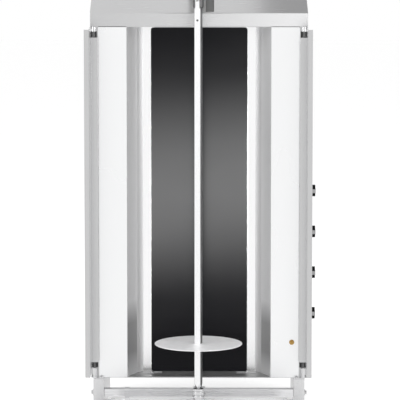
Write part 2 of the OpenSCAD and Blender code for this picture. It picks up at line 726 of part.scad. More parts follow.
module socket_cut(z0, z1) translate([-socket / 2, -socket / 2, z0]) cube([socket, socket, z1 - z0]);
sleeve_l = sleeve_top - sleeve_z;
module coupling_sleeve() color("gainsboro") placed() turned_spit() {
    difference() {
        translate([0, 0, sleeve_z]) rotate_extrude($fn = round_fn)
            polygon([[0, 0], [sleeve_dia / 2 - 1.5, 0], [sleeve_dia / 2, 4],
                [sleeve_dia / 2, sleeve_l], [0, sleeve_l]]);
        socket_cut(sleeve_z - cut, spit_top + gap);
    }
    translate([0, 0, sleeve_top])
        cylinder(h = motor_z + 20 - sleeve_top, r = shaft_r, $fn = round_fn);
}

module spit_bar(z0, z1) translate([-spit_side / 2, -spit_side / 2, z0])
    cube([spit_side, spit_side, z1 - z0]);
cone_z = cup_top + 0.5;
hole_z = top_z + 27;
hole_dia = 5;
module spit() color("whitesmoke") placed() turned_spit() difference() {
    union() {
        spit_bar(cone_z + cone_h - 1.5, spit_top);
        intersection() {
            spit_bar(cone_z, cone_z + cone_h);
            translate([0, 0, cone_z])
                cylinder(h = cone_h, r1 = journal_r + 1, r2 = spit_side * 0.78, $fn = round_fn);
        }
        translate([0, 0, cup_floor + 0.5]) cylinder(h = 24, r = journal_r, $fn = round_fn);
    }
    translate([0, 0, hole_z]) rotate([90, 0, 0])
        cylinder(h = 2 * spit_side, r = hole_dia / 2, center = true, $fn = round_fn);
}

plate_t = 2;
plate_r = plate_dia / 2;
hub_r = 18;
hub_z = plate_z - plate_t - hub_h;
screw_z = hub_z + hub_h / 2;
module meat_plate() color("gainsboro") placed() turned_spit() difference() {
    translate([0, 0, plate_z - plate_t]) rotate_extrude($fn = 96)
        polygon([[0, 0], [plate_r - 0.5, 0], [plate_r, 0.5], [plate_r, plate_t - 0.5],
            [plate_r - 0.5, plate_t], [0, plate_t]]);
    socket_cut(plate_z - plate_t - cut, plate_z + cut);
}

module plate_hub() color("silver") placed() turned_spit() difference() {
    translate([0, 0, hub_z]) rotate_extrude($fn = round_fn)
        polygon([[0, 0], [hub_r - 2, 0], [hub_r, 2], [hub_r, hub_h], [0, hub_h]]);
    socket_cut(hub_z - cut, hub_z + hub_h + cut);
    translate([0, 0, screw_z]) rotate([0, 90, 90]) cylinder(h = 30, r = 3.05, $fn = 24);
}

// Wing screw that locks the meat plate on the spit
module hub_screw() color("gainsboro") placed() turned_spit()
    translate([0, socket / 2, screw_z]) rotate([-90, 0, 0]) {
        cylinder(h = 16, r = 3, $fn = 24);
        translate([0, 0, 11]) cylinder(h = 4, r = 5, $fn = 24);
        for (x = [-7, 7]) translate([x, 0, 16]) rotate([90, 0, 0])
            cylinder(h = 3, r = 5, center = true, $fn = 24);
        translate([-7, -1.5, 12]) cube([14, 3, 6]);
    }

cheek(-1);  // left_cheek
cheek(1);  // right_cheek
rear_cross_member();
tray_runner(-1);  // left_tray_runner
tray_runner(1);  // right_tray_runner
feet();
bottom_panel();
recess_floor();
side_panel(-1, side_rows, 0);  // left_side_panel
side_panel(1, side_rows, knobs);  // right_side_panel
front_panel(-1);  // left_front_panel
front_panel(1);  // right_front_panel
reflector(-1);  // left_reflector
reflector(1);  // right_reflector
glass_panel();
heater(1);  // heater_1
heater(2);  // heater_2
heater(3);  // heater_3
heater(4);  // heater_4
heater_rails();
insulation();
back_panel();
hood();
recess_ceiling();
slot_guide();
deck_rails();
upper_hinge(-1);  // upper_left_hinge
upper_hinge(1);  // upper_right_hinge
lower_hinge(-1);  // lower_left_hinge
lower_hinge(1);  // lower_right_hinge
regulator(1);  // regulator_1
regulator(2);  // regulator_2
regulator(3);  // regulator_3
regulator(4);  // regulator_4
terminal_block();
cable_gland();
bonding_stud();
panel_screws();
wing(-1);  // left_wing
wing(1);  // right_wing
knob(1);  // knob_1
knob(2);  // knob_2
knob(3);  // knob_3
knob(4);  // knob_4
drip_tray();
cross_bar();
bearing_arm();
bearing_cup();
bar_collar();
bar_bolts();
carriage_plate();
gear_motor();
motor_cover();
motor_switch();
carriage_handle();
coupling_sleeve();
spit();
meat_plate();
plate_hub();
hub_screw();
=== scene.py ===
"""Rotisserie oven with an upright spit: finishes, small parts, lights and camera."""

import json
import math

import bpy
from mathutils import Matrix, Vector

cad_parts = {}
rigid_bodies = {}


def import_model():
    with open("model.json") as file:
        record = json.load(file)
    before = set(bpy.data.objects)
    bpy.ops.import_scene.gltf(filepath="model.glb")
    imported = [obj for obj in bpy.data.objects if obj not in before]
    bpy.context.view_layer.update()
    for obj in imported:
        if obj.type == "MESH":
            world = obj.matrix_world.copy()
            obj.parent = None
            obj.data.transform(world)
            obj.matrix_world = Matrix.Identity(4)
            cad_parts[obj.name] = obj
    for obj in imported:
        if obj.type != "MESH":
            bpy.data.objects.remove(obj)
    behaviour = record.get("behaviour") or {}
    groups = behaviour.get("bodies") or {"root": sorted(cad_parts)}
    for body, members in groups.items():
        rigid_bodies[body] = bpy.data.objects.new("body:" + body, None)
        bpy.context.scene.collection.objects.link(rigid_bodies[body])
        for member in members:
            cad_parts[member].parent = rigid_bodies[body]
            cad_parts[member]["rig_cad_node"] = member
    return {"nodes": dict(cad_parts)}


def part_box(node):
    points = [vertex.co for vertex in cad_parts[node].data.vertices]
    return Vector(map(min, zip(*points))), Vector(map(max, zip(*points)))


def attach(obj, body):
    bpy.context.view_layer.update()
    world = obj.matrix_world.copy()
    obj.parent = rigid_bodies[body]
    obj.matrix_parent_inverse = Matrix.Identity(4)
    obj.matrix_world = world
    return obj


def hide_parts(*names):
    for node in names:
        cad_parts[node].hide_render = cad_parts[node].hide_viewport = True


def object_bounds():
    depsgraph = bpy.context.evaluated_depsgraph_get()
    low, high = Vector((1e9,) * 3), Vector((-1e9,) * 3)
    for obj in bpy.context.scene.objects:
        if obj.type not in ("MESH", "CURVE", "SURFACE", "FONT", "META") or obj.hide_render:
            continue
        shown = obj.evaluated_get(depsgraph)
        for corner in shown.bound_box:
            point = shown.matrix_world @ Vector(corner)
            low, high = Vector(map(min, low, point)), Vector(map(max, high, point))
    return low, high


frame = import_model()
cad_lo, cad_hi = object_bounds()
nodes = frame["nodes"]


# ---------------------------------------------------------------- places, from the frame

def middle(node):
    """Centre of a node's box."""
    lo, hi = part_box(node)
    return (lo + hi) / 2


body_of = {name: nodes[name].parent.name.split(":")[1] for name in nodes}

SPIT = middle("meat_plate")
GLASS_LO, GLASS_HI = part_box("glass_panel")
HOUSING_X = middle("back_panel").x
FRONT_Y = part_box("left_front_panel")[0].y


def place(x, y, z):
    """Millimetres from the housing's middle, its front and the floor, as a point in metres."""
    return Vector((HOUSING_X + x / 1000, FRONT_Y + y / 1000, z / 1000))


# ---------------------------------------------------------------- camera

VIEW_TURN = math.radians(0.5)
VIEW_DROP = math.radians(7.5)
VIEW_DISTANCE = 8.0
VIEW_TARGET = Vector((HOUSING_X + 0.004, SPIT.y, 0.592))
SENSOR = 36     # millimetres, as the lens
LENS = 288


def add_camera():
    """Long lens from the front, a little above the middle of the oven."""
    ahead = Vector((-math.sin(VIEW_TURN) * math.cos(VIEW_DROP),
                    math.cos(VIEW_TURN) * math.cos(VIEW_DROP),
                    -math.sin(VIEW_DROP)))
    data = bpy.data.cameras.new("camera")
    data.sensor_width = SENSOR
    data.lens = LENS
    data.clip_end = 100
    camera = bpy.data.objects.new("camera", data)
    camera.location = VIEW_TARGET - ahead * VIEW_DISTANCE
    camera.rotation_euler = ahead.to_track_quat("-Z", "Y").to_euler()
    bpy.context.collection.objects.link(camera)
    bpy.context.scene.camera = camera


# ---------------------------------------------------------------- finishes

class Finish:
    """A material, and the short chain of nodes that gives it grain, tone and relief."""

    def __init__(self, name, colour, metallic=0.0, roughness=0.5, **sockets):
        self.material = bpy.data.materials.new(name)
        self.material.use_nodes = True
        self.tree = self.material.node_tree
        self.shader = self.tree.nodes["Principled BSDF"]
        self.colour = colour
        self.roughness = roughness
        self.shader.inputs["Base Color"].default_value = (*colour, 1)
        self.shader.inputs["Metallic"].default_value = metallic
        self.shader.inputs["Roughness"].default_value = roughness
        for socket, value in sockets.items():
            self.shader.inputs[socket.replace("_", " ")].default_value = value
        self.place = self.tree.nodes.new("ShaderNodeTexCoord").outputs["Object"]
        self.relief = None

    def node(self, kind, **inputs):
        made = self.tree.nodes.new("ShaderNode" + kind)
        for name, value in inputs.items():
            socket = made.inputs[name.replace("_", " ")]
            if isinstance(value, bpy.types.NodeSocket):
                self.tree.links.new(value, socket)
            else:
                socket.default_value = value
        return made

    def stretched(self, scale):
        """Object coordinates, packed more closely along the axes with a large scale."""
        return self.node("Mapping", Vector=self.place, Scale=scale).outputs["Vector"]

    def noise(self, scale, detail=3.0):
        """Noise whose grain is finer along the axes with a large scale."""
        return self.node("TexNoise", Vector=self.stretched(scale), Scale=1.0, Detail=detail,
                         Roughness=0.5).outputs["Fac"]

    def spread(self, value, low, high, start=0.3, end=0.7):
        """A value between start and end becomes one between low and high."""
        made = self.node("MapRange", Value=value)
        for name, number in zip(("From Min", "From Max", "To Min", "To Max"),
                                (start, end, low, high)):
            made.inputs[name].default_value = number
        return made.outputs["Result"]

    def vary_roughness(self, value, amount):
        rough = self.spread(value, self.roughness - amount, self.roughness + amount)
        self.tree.links.new(rough, self.shader.inputs["Roughness"])

    def colour_mix(self, blend_type):
        """Sockets for the factor and the second colour of a mix with the colour so far."""
        mix = self.tree.nodes.new("ShaderNodeMix")
        mix.data_type = "RGBA"
        mix.blend_type = blend_type
        first, second = [s for s in mix.inputs if s.type == "RGBA"][:2]
        colour = self.shader.inputs["Base Color"]
        if colour.is_linked:
            self.tree.links.new(colour.links[0].from_socket, first)
        else:
            first.default_value = (*self.colour, 1)
        self.tree.links.new([s for s in mix.outputs if s.type == "RGBA"][0], colour)
        return mix.inputs["Factor"], second

    def vary_tone(self, value, darkest, lightest=1.0, start=0.3, end=0.7):
        """The colour is multiplied by a tone between darkest and lightest."""
        tone = self.spread(value, darkest, lightest, start, end)
        grey = self.node("CombineColor", Red=tone, Green=tone, Blue=tone).outputs["Color"]
        factor, second = self.colour_mix("MULTIPLY")
        factor.default_value = 1
        self.tree.links.new(grey, second)

    def blend_colour(self, value, colour, start=0.3, end=0.7):
        """Another colour shows where the value is high."""
        factor, second = self.colour_mix("MIX")
        second.default_value = (*colour, 1)
        self.tree.links.new(self.spread(value, 0, 1, start, end), factor)

    def emboss(self, value, height, strength=1.0):
        """Relief of a height in metres, added to any before it."""
        bump = self.node("Bump", Height=value, Distance=height, Strength=strength)
        if self.relief:
            self.tree.links.new(self.relief, bump.inputs["Normal"])
        self.relief = bump.outputs["Normal"]
        self.tree.links.new(self.relief, self.shader.inputs["Normal"])


ALONG_X, ALONG_Y, ALONG_Z = (0.02, 1, 1), (1, 0.02, 1), (1, 1, 0.02)


def grain(direction, fineness):
    return tuple(fineness * part for part in direction)


GRAIN_DEPTH = 0.00035   # metres of relief at full contrast


def brushed_steel(name, direction, tone=0.6, rough=0.34, contrast=0.06):
    """Sheet with a brushed grain along one axis and a faint unevenness left by handling."""
    finish = Finish(name, (tone, tone, tone * 1.008), 1.0, rough)
    lines = finish.noise(grain(direction, 900), detail=4)
    clouds = finish.noise((5, 5, 5), detail=2)
    finish.vary_roughness(lines, contrast)
    finish.vary_tone(lines, 1 - contrast)
    finish.vary_tone(clouds, 0.965)
    finish.emboss(lines, GRAIN_DEPTH * contrast)
    finish.emboss(clouds, 0.0006, 0.25)
    return finish.material


def bright_sheet():
    """Bright annealed sheet of the front panels, nearly white and without a grain."""
    finish = Finish("bright sheet", (0.96, 0.965, 0.97), 1.0, 0.26)
    clouds = finish.noise((4, 4, 1.6), detail=3)
    finish.vary_roughness(clouds, 0.04)
    finish.vary_tone(clouds, 0.97)
    finish.emboss(clouds, 0.0006, 0.2)
    return finish.material


SHADE_BAND_TOP = (0.25, 0.308)    # heights between which the painted shade band fades upwards
SHADE_BAND_FOOT = (0.125, 0.175)  # and where it fades out downwards, towards the foot


def reflector_sheet(name, tone, metallic, rough, darkened=1.0):
    """Folds beside the glass, with painted shade: a darker band above the recess floor stands in
    for a dark reflection there, and fades out again towards the foot.
    """
    finish = Finish(name, (tone, tone, tone * 1.005), metallic, rough)
    ripples = finish.noise((7, 7, 2), detail=2)
    finish.vary_roughness(ripples, 0.04)
    height = finish.node("SeparateXYZ", Vector=finish.place).outputs["Z"]
    # Painted shade: the colour drops to the darkened tone in a band above the recess floor,
    # standing in for a dark reflection, and comes back towards the foot.
    finish.vary_tone(height, darkened, 1.0, *SHADE_BAND_TOP)
    finish.vary_tone(height, 1 / darkened, 1.0, *SHADE_BAND_FOOT)
    finish.emboss(ripples, 0.0008, 0.2)
    return finish.material


def dulled_steel(name, tone):
    """Steel inside the recess and the guide, dulled by heat and fat; the guide's lower tone is
    also painted shade inside the hood's slot.
    """
    finish = Finish(name, (tone, tone, tone), 0.9, 0.42)
    stains = finish.noise((24, 24, 24), detail=5)
    finish.vary_roughness(stains, 0.12)
    finish.vary_tone(stains, 0.7)
    return finish.material


def black_glass():
    """Glass ceramic, black right through, with a soft surface bloom."""
    finish = Finish("black glass ceramic", (0.0012, 0.0012, 0.0014), 0.0, 0.16, IOR=1.1)
    wipes = finish.noise((3, 3, 9), detail=3)
    finish.vary_roughness(wipes, 0.02)
    return finish.material


def turned_steel(name="turned steel", tone=0.72, rough=0.2, metallic=1.0):
    """Turned and ground parts: fine rings from the tool."""
    finish = Finish(name, (tone, tone, tone * 1.01), metallic, rough)
    rings = finish.noise((30, 30, 2600), detail=2)
    marks = finish.noise((60, 60, 60), detail=3)
    finish.vary_roughness(marks, 0.06)
    finish.vary_tone(marks, 0.93)
    finish.emboss(rings, 0.00001)
    return finish.material


def spit_side_shade_steel():
    """Sides of the square bar, painted dark as shade: far darker than its ground faces."""
    finish = Finish("drawn bar", (0.15, 0.15, 0.152), 1.0, 0.3)
    lines = finish.noise(grain(ALONG_Z, 1800), detail=3)
    finish.vary_roughness(lines, 0.08)
    finish.vary_tone(lines, 0.85)
    return finish.material


def spit_steel():
    """Ground square bar, brighter than the sheet, with faint scratches along it."""
    finish = Finish("ground bar", (0.95, 0.95, 0.955), 1.0, 0.28)
    scratches = finish.noise(grain(ALONG_Z, 1400), detail=3)
    finish.vary_roughness(scratches, 0.05)
    finish.vary_tone(scratches, 0.96)
    return finish.material


def brass():
    finish = Finish("brass", (0.56, 0.36, 0.12), 1.0, 0.28)
    tarnish = finish.noise((180, 180, 180), detail=4)
    finish.vary_roughness(tarnish, 0.1)
    finish.vary_tone(tarnish, 0.75)
    return finish.material


def knob_plastic():
    """Black thermoset with a fine moulded texture."""
    finish = Finish("knob plastic", (0.004, 0.004, 0.0043), 0.0, 0.38, IOR=1.16)
    texture = finish.noise((2200, 2200, 2200), detail=2)
    finish.vary_roughness(texture, 0.08)
    finish.emboss(texture, 0.00004)
    return finish.material


def moulded_plastic(name, colour, rough=0.5):
    finish = Finish(name, colour, 0.0, rough)
    texture = finish.noise((1500, 1500, 1500), detail=2)
    finish.vary_roughness(texture, 0.07)
    finish.vary_tone(finish.noise((40, 40, 40)), 0.94)
    finish.emboss(texture, 0.00004)
    return finish.material


def foot_rubber():
    finish = Finish("foot rubber", (0.03, 0.03, 0.03), 0.0, 0.75)
    dust = finish.noise((150, 150, 150), detail=5)
    finish.blend_colour(dust, (0.09, 0.088, 0.085), 0.45, 0.8)
    finish.emboss(dust, 0.0002)
    return finish.material


def heater_ceramic():
    """Pressed ceramic fibre, cream, with short fibres on its face."""
    finish = Finish("ceramic fibre", (0.62, 0.56, 0.45), 0.0, 0.95)
    fibres = finish.noise((700, 200, 700), detail=5)
    finish.vary_tone(fibres, 0.8)
    finish.emboss(fibres, 0.0004)
    return finish.material


def motor_paint():
    """Hammer-finish grey paint on the castings of the gear motor."""
    finish = Finish("hammer paint", (0.16, 0.19, 0.21), 0.0, 0.36)
    dimples = finish.node("TexVoronoi", Vector=finish.stretched((240, 240, 240)),
                          Scale=1.0).outputs["Distance"]
    finish.vary_tone(dimples, 0.8, 1.1, 0, 0.8)
    finish.emboss(dimples, 0.0003)
    return finish.material


STEEL_UP = brushed_steel("brushed sheet, upright grain", ALONG_Z)
WING_SHEET = brushed_steel("wing sheet, upright grain", ALONG_Z, 0.62, 0.2, 0.02)
STEEL_ACROSS = brushed_steel("brushed sheet, level grain", ALONG_X, 0.62)
STEEL_DEEP = brushed_steel("brushed sheet, grain front to back", ALONG_Y)
BRIGHT = bright_sheet()
# The last number of each reflector finish sets the depth of its painted shade band; 1.0 leaves
# none.
REFLECTOR = reflector_sheet("reflector, front fold", 0.97, 1.0, 0.26)
REFLECTOR_STEP = reflector_sheet("reflector, inner folds", 0.97, 0.6, 0.42, 0.97)
REFLECTOR_SIDE = reflector_sheet("reflector, outer fold", 0.97, 0.55, 0.5, 0.5)
HOOD_SHEET = brushed_steel("hood sheet, level grain", ALONG_X, 0.6, 0.26, 0.015)
FRAME_STEEL = brushed_steel("frame steel, grain front to back", ALONG_Y, 0.78, 0.3)
BAR_STEEL = brushed_steel("frame steel, level grain", ALONG_X, 0.95, 0.3)
DULLED = dulled_steel("dulled steel", 0.46)
# The guide's darker tone is painted shade inside the hood's slot, on top of its stains.
GUIDE_STAINS_AND_SHADE = dulled_steel("guide steel", 0.28)
# Dark steel standing in for shade: painted shade on the sleeve's sides and on the bare hinge pins.
DARK_SHADE_STEEL = turned_steel("oiled steel", 0.14, 0.32)
GLASS = black_glass()
TURNED = turned_steel()
PLATE = turned_steel("satin plate", 0.97, 0.42, 0.35)
BAR = spit_steel()
SPIT_SIDE_SHADE = spit_side_shade_steel()
BRASS = brass()
KNOB = knob_plastic()
BLACK_PLASTIC = moulded_plastic("black plastic", (0.02, 0.02, 0.021))
GREY_PLASTIC = moulded_plastic("grey nylon", (0.11, 0.11, 0.115), 0.55)
CREAM_PLASTIC = moulded_plastic("cream plastic", (0.7, 0.66, 0.55), 0.45)
GRIP = moulded_plastic("grip bar", (0.42, 0.42, 0.425), 0.4)
WHITE_INK = moulded_plastic("white ink", (0.8, 0.8, 0.79), 0.6)
BLACK_INK = moulded_plastic("black ink", (0.02, 0.02, 0.02), 0.6)
RUBBER = foot_rubber()
CERAMIC = heater_ceramic()
PAINT = motor_paint()
PRIMER = moulded_plastic("pale primer", (0.8, 0.8, 0.79), 0.6)
FASTENER = turned_steel("zinc-plated fasteners", 0.6, 0.3)
WELD = turned_steel("weld metal", 0.34, 0.38)

FINISHES = {
    STEEL_UP: ["left_side_panel", "right_side_panel", "back_panel"],
    WING_SHEET: ["left_wing", "right_wing"],
    HOOD_SHEET: ["hood"],
    STEEL_ACROSS: ["rear_cross_member", "motor_cover", "bottom_panel", "recess_ceiling"],
    BAR_STEEL: ["cross_bar", "bar_collar", "drip_tray"],
    FRAME_STEEL: ["left_cheek", "right_cheek", "left_tray_runner", "right_tray_runner"],
    STEEL_DEEP: ["deck_rails", "carriage_plate", "bearing_arm"],
    DARK_SHADE_STEEL: ["coupling_sleeve"],
    BRIGHT: ["left_front_panel", "right_front_panel"],
    REFLECTOR: ["left_reflector", "right_reflector"],
    DULLED: ["recess_floor", "heater_rails"],
    GUIDE_STAINS_AND_SHADE: ["slot_guide"],
    GLASS: ["glass_panel"],
    TURNED: ["bearing_cup", "plate_hub", "hub_screw",
             "upper_left_hinge", "upper_right_hinge", "lower_left_hinge", "lower_right_hinge"],
    PLATE: ["meat_plate"],
    BAR: ["spit"],
    BRASS: ["bonding_stud"],
    KNOB: ["knob_1", "knob_2", "knob_3", "knob_4"],
    BLACK_PLASTIC: ["motor_switch", "carriage_handle"],
    GREY_PLASTIC: ["cable_gland"],
    CREAM_PLASTIC: ["terminal_block", "regulator_1", "regulator_2", "regulator_3",
                    "regulator_4"],
    RUBBER: ["feet"],
    CERAMIC: ["insulation", "heater_1", "heater_2", "heater_3", "heater_4"],
    PAINT: ["gear_motor"],
    FASTENER: ["panel_screws", "bar_bolts"],
}


def face_finish(piece, finish, chosen):
    """Another finish on the faces of a piece for which chosen(centre, normal) holds."""
    piece.data.materials.append(finish)
    for face in piece.data.polygons:
        if chosen(face.center, face.normal):
            face.material_index = len(piece.data.materials) - 1


def dress_nodes():
    for finish, names in FINISHES.items():
        for name in names:
            for slot in nodes[name].material_slots:
                slot.material = finish


# ---------------------------------------------------------------- shaping tools

def begin():
    """Nothing is selected, so that an operator acts on the new piece alone."""
    if bpy.context.object and bpy.context.object.mode != "OBJECT":
        bpy.ops.object.mode_set(mode="OBJECT")
    bpy.ops.object.select_all(action="DESELECT")


def only(piece):
    """One piece is selected and active."""
    begin()
    piece.select_set(True)
    bpy.context.view_layer.objects.active = piece


def freeze():
    """The selected object's place, turn and scale go into its mesh."""
    bpy.ops.object.transform_apply(location=True, rotation=True, scale=True)


def edit(piece, chosen=None):
    """Edit mode, with the faces selected for which chosen(centre, normal) holds."""
    only(piece)
    bpy.ops.object.mode_set(mode="EDIT")
    bpy.ops.mesh.select_mode(type="FACE")
    bpy.ops.mesh.select_all(action="DESELECT")
    bpy.ops.object.mode_set(mode="OBJECT")
    for face in piece.data.polygons:
        face.select = chosen is None or chosen(face.center, face.normal)
    bpy.ops.object.mode_set(mode="EDIT")


SMOOTH = math.radians(32)   # a smaller turn between two faces is shaded as a curve


def done(piece, body, material):
    """Leaves edit mode, puts the piece's place into its mesh and fixes it to its body."""
    only(piece)
    freeze()
    bpy.ops.object.shade_smooth_by_angle(angle=SMOOTH)
    piece.data.materials.clear()
    piece.data.materials.append(material)
    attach(piece, body)
    return piece


def apply_modifier(piece, kind, **settings):
    only(piece)
    modifier = piece.modifiers.new(kind.lower(), kind)
    for name, value in settings.items():
        setattr(modifier, name, value)
    bpy.ops.object.modifier_apply(modifier=modifier.name)


MERGE = 0.000002            # corners nearer than this are one
FLAT = math.radians(0.6)    # faces that turn less than this are one


def copy_of(node, name):
    """A CAD solid as a piece of its own, its loose triangles merged into whole faces."""
    only(nodes[node])
    bpy.ops.object.duplicate()
    piece = bpy.context.active_object
    piece.name = name
    del piece["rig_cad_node"]
    edit(piece)
    bpy.ops.mesh.select_all(action="SELECT")
    bpy.ops.mesh.remove_doubles(threshold=MERGE)
    bpy.ops.mesh.dissolve_limited(angle_limit=FLAT)
    bpy.ops.object.mode_set(mode="OBJECT")
    return piece


FOLD = 0.002        # outer radius of a fold in the sheet
FOLD_IN = 0.0007    # its inner radius
FOLD_STEPS = 2      # faces across a radius
CUT_EDGE = 0.0      # cut edges of sheet stay square
THIN = 0.0028       # a face narrower than this is a sheet's edge
SHARP = math.radians(24)    # a smaller turn between two faces is part of a curve


def weigh_edges(piece, fold, fold_in, cut_edge):
    """Bevel weights: folds get their outer or inner radius, the edges of thin walls cut_edge."""
    mesh = piece.data
    across = {}
    place_of = [corner.co for corner in mesh.vertices]
    thin = []
    for face in mesh.polygons:
        around = sum((place_of[a] - place_of[b]).length for a, b in face.edge_keys)
        thin.append(2 * face.area / around < THIN)
    for face in mesh.polygons:
        for key in face.edge_keys:
            across.setdefault(key, []).append(face)
    weights = mesh.attributes.new("bevel_weight_edge", "FLOAT", "EDGE")
    for edge in mesh.edges:
        sides = across.get(tuple(sorted(edge.vertices)), [])
        if len(sides) != 2:
            continue
        first, second = sides
        if first.normal.angle(second.normal, 0) < SHARP:
            continue
        if thin[first.index] or thin[second.index]:
            radius = cut_edge
        else:
            hollow = (second.center - first.center).dot(first.normal) > 0
            radius = fold_in if hollow else fold
        weights.data[edge.index].value = radius / fold


def rounded(node, fold=FOLD, fold_in=FOLD_IN, cut_edge=CUT_EDGE, shape=None):
    """A CAD solid with real radii on its folds and edges, in the place of the bare one."""
    piece = copy_of(node, node + "_finished")
    if shape:
        shape(piece)
    if fold:
        weigh_edges(piece, fold, fold_in, cut_edge)
        apply_modifier(piece, "BEVEL", width=fold, segments=FOLD_STEPS, limit_method="WEIGHT",
                       use_clamp_overlap=False, harden_normals=False)
    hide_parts(node)
    done(piece, body_of[node], nodes[node].data.materials[0])
    apply_modifier(piece, "WEIGHTED_NORMAL", keep_sharp=True, weight=100)
    return piece


# ---------------------------------------------------------------- sheets and solids with radii

SPIT_TURN = math.radians(19)

# Sheets with the full fold radius, sheets with a smaller one, and solids with all edges broken.
FOLDED = ["left_reflector", "right_reflector", "motor_cover", "rear_cross_member", "bar_collar",
          "left_tray_runner", "right_tray_runner", "deck_rails"]
CRISP = {"hood": 0.0011, "left_front_panel": 0.0006, "right_front_panel": 0.0006,
         "left_wing": 0.0008, "right_wing": 0.0008, "recess_ceiling": 0.0008, "drip_tray": 0.0008}
BROKEN = {"left_cheek": 0.0012, "right_cheek": 0.0012, "cross_bar": 0.0008, "bearing_arm": 0.0006,
          "meat_plate": 0.0003, "spit": 0.0006, "plate_hub": 0.0005, "cable_gland": 0.0005,
          "bearing_cup": 0.0003, "motor_switch": 0.001}

SLANT = 0.5         # faces that turn this far to the side take the side finish
ALONG = 0.9         # and faces that turn this far look along an axis
OUTER_FOLD = 0.161  # a reflector's outer fold is further than this from the middle
UPPER_LUG = 0.0125  # an upper hinge is lug down to here from its top, and then bare pin
LOWER_LUG = 0.0275  # a lower hinge is lug up to here from its foot, and then bare pin


def from_middle(centre):
    return abs(centre.x - HOUSING_X)


SLOT_HALF = 0.0068  # half the width of the sleeve's slot
KEY_HALF = 0.0062   # half the width of the filler in it


def slot_for_spit(sleeve):
    """The sleeve is open at the front, so that the spit drops out of it sideways; the bright key
    in this slot against the sleeve's dark steel paints a highlight down its front and shade on its
    sides.
    """
    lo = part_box("coupling_sleeve")[0]
    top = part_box("carriage_plate")[0].z + 0.03
    tool = block("slot", (SPIT.x - SLOT_HALF, lo.y - 0.004, lo.z - 0.002),
                 (SPIT.x + SLOT_HALF, SPIT.y - 0.0079, top), 0.0008)
    edit(tool)
    bpy.ops.transform.rotate(value=SPIT_TURN, orient_axis="Z", center_override=SPIT)
    bpy.ops.object.mode_set(mode="OBJECT")
    cut_away(sleeve, tool)


def round_nodes():
    """Copies with radii stand in for the solids that take them; two copies stay square."""
    for node in FOLDED:
        rounded(node)
    for node, radius in CRISP.items():
        rounded(node, radius)
    for node, radius in BROKEN.items():
        rounded(node, radius, radius, radius)
    rounded("coupling_sleeve", 0, shape=slot_for_spit)
    rounded("carriage_plate", 0)
    for side in ("left", "right"):
        reflector = bpy.data.objects[f"{side}_reflector_finished"]
        face_finish(reflector, REFLECTOR_SIDE, lambda centre, normal:
                    abs(normal.x) > SLANT and from_middle(centre) > OUTER_FOLD)
        face_finish(reflector, REFLECTOR_STEP, lambda centre, normal:
                    abs(normal.x) > SLANT and from_middle(centre) < OUTER_FOLD)
        for level in ("upper", "lower"):
            hinge = rounded(f"{level}_{side}_hinge", 0.0005, 0.0005, 0.0005)
            lo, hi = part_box(f"{level}_{side}_hinge")
            pin_end = hi.z - UPPER_LUG if level == "upper" else lo.z + LOWER_LUG
            above = 1 if level == "lower" else -1
            # The bare pin beyond the lug takes the dark steel: painted shade in the gap between
            # lug and wing.
            face_finish(hinge, DARK_SHADE_STEEL, lambda centre, normal: above * (centre.z - pin_end) > 0)
        face_finish(bpy.data.objects[f"{side}_cheek_finished"], STEEL_DEEP,
                    lambda centre, normal: abs(normal.x) > ALONG)
    # The bar's side faces take the dark steel: painted shade.
    face_finish(bpy.data.objects["spit_finished"], SPIT_SIDE_SHADE,
                lambda centre, normal: abs(normal.x) > SLANT)
    face_finish(bpy.data.objects["carriage_plate_finished"], PRIMER,
                lambda centre, normal: normal.z < -ALONG)


# ---------------------------------------------------------------- starting shapes

def block(name, lo, hi, radius=0.0005, steps=2):
    """Block between two corners with its edges rounded."""
    lo, hi = Vector(lo), Vector(hi)
    begin()
    bpy.ops.mesh.primitive_cube_add(size=1, location=(lo + hi) / 2, scale=hi - lo)
    piece = bpy.context.active_object
    piece.name = name
    freeze()
    edit(piece)
    bpy.ops.mesh.bevel(offset=radius, segments=steps, affect="EDGES", profile=0.6)
    bpy.ops.object.mode_set(mode="OBJECT")
    return piece


def rod(name, start, end, radius, sides=32, chamfer=0.0004, steps=2):
    """Round bar from one point to another, its ends rounded."""
    start, end = Vector(start), Vector(end)
    begin()
    bpy.ops.mesh.primitive_cylinder_add(
        vertices=sides, radius=radius, depth=(end - start).length, location=(start + end) / 2,
        rotation=(end - start).to_track_quat("Z", "Y").to_euler())
    piece = bpy.context.active_object
    piece.name = name
    freeze()
    along = (end - start).normalized()
    edit(piece, lambda centre, normal: abs(normal.dot(along)) > ALONG)
    bpy.ops.mesh.region_to_loop()
    bpy.ops.mesh.select_mode(type="EDGE")
    bpy.ops.mesh.bevel(offset=chamfer, segments=steps, affect="EDGES")
    bpy.ops.object.mode_set(mode="OBJECT")
    return piece


def ring(name, centre, axis, radius, thickness, sides=48, around=10):
    begin()
    bpy.ops.mesh.primitive_torus_add(
        location=centre, rotation=Vector(axis).to_track_quat("Z", "Y").to_euler(),
        major_radius=radius, minor_radius=thickness, major_segments=sides,
        minor_segments=around)
    piece = bpy.context.active_object
    piece.name = name
    return piece


def joined(name, parts):
    """Several meshes as one piece."""
    begin()
    for part in parts:
        part.select_set(True)
    bpy.context.view_layer.objects.active = parts[0]
    if len(parts) > 1:
        bpy.ops.object.join()
    piece = bpy.context.active_object
    piece.name = name
    return piece


def placed_copy(model, seat, axis=(0, 0, 1)):
    """A copy of a model drawn about the origin, its +Z turned to an axis."""
    only(model)
    bpy.ops.object.duplicate()
    piece = bpy.context.active_object
    piece.rotation_euler = Vector(axis).to_track_quat("Z", "Y").to_euler()
    piece.location = seat
    freeze()
    return piece


def discard(*models):
    for model in models:
        bpy.data.objects.remove(model)


def cut_away(piece, tool):
    apply_modifier(piece, "BOOLEAN", operation="DIFFERENCE", object=tool, solver="EXACT")
    discard(tool)


